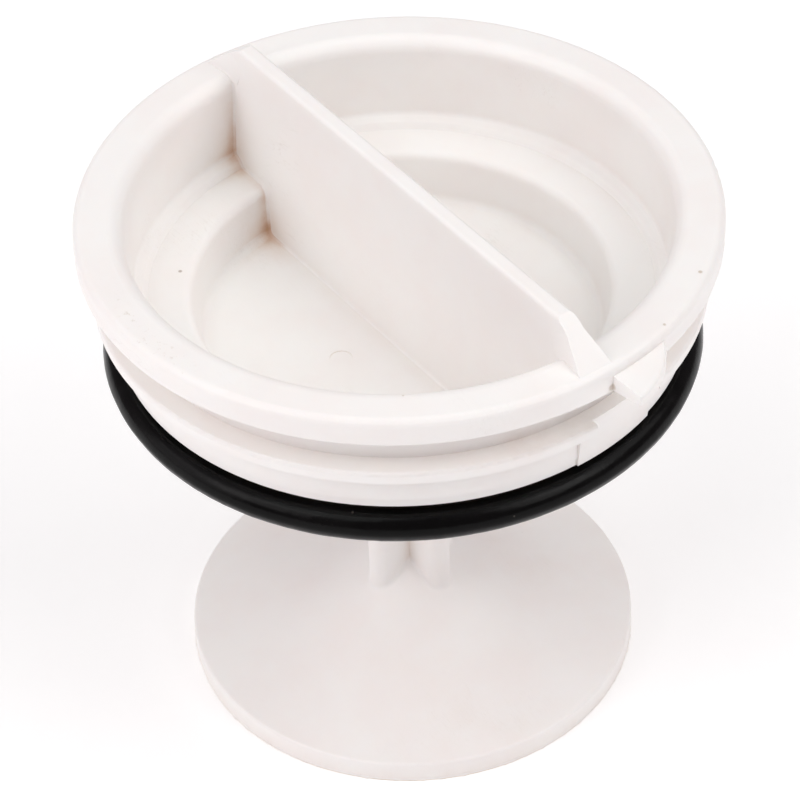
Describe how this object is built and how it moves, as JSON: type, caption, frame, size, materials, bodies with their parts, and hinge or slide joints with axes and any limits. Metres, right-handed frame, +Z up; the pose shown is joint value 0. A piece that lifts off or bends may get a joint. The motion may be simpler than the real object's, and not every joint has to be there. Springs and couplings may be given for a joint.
{
  "type": "deck fill cap",
  "caption": "Round white plastic filler cap with a sunken finger cup, a full-width grip web, a side lug, a black seal ring and a cross-shaped stem ending in a flared disc.",
  "frame": {"origin": "on the cap's axis, in the plane of the disc's foot that it stands on", "axes": "+Z up along the cap's axis, +X along the grip web towards the lug, +Y to complete a right-handed frame"},
  "size_m": [0.0699, 0.066, 0.0633],
  "materials": {
    "cap_plastic": "satin moulded white, faintly warm",
    "seal_rubber": "smooth black, soft sheen",
    "stem_plastic": "satin moulded white, faintly warm"
  },
  "bodies": {
    "cap": {"cap_body": "cap_plastic", "o_ring": "seal_rubber"},
    "stem": {"stem_and_disc": "stem_plastic"}
  },
  "joints": [
    {"name": "stem_swivel", "type": "hinge", "parent": "cap", "child": "stem", "pos_m": [0, 0, 0.0295], "axis": [0, 0, 1], "continuous": true}
  ]
}
